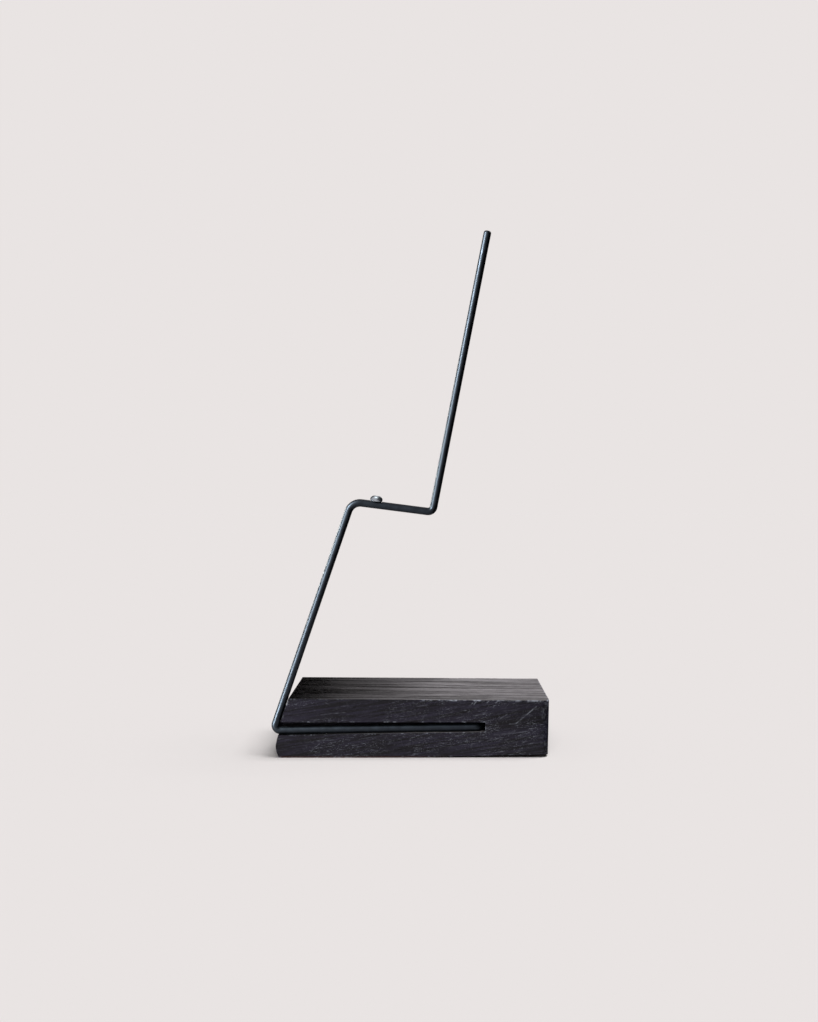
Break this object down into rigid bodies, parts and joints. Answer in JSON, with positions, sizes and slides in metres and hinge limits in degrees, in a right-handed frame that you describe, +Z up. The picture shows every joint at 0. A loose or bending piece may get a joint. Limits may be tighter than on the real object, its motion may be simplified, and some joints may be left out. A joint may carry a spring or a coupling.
{
  "type": "incense burner",
  "caption": "Black wood block with a slotted front that holds a bent black wire stand; a small bright cup on the wire's seat holds an incense stick above the block.",
  "frame": {"origin": "centre of the block's underside, on the surface that the burner stands on", "axes": "+X along the block towards its square end, +Y from its slotted front face to its back, +Z up"},
  "size_m": [0.1094, 0.0552, 0.2072],
  "materials": {
    "black_wood": "black-stained, open-grained wood, matt, with worn edges",
    "black_wire": "blackened steel wire, satin",
    "bright_cup": "polished nickel"
  },
  "bodies": {
    "base": {"base_block": "black_wood"},
    "stand": {"wire_stand": "black_wire", "stick_cup": "bright_cup"}
  },
  "joints": [
    {"name": "stand_pull", "type": "slide", "parent": "base", "child": "stand", "axis": [0, -1, 0], "range_m": [0, 0.03]}
  ]
}
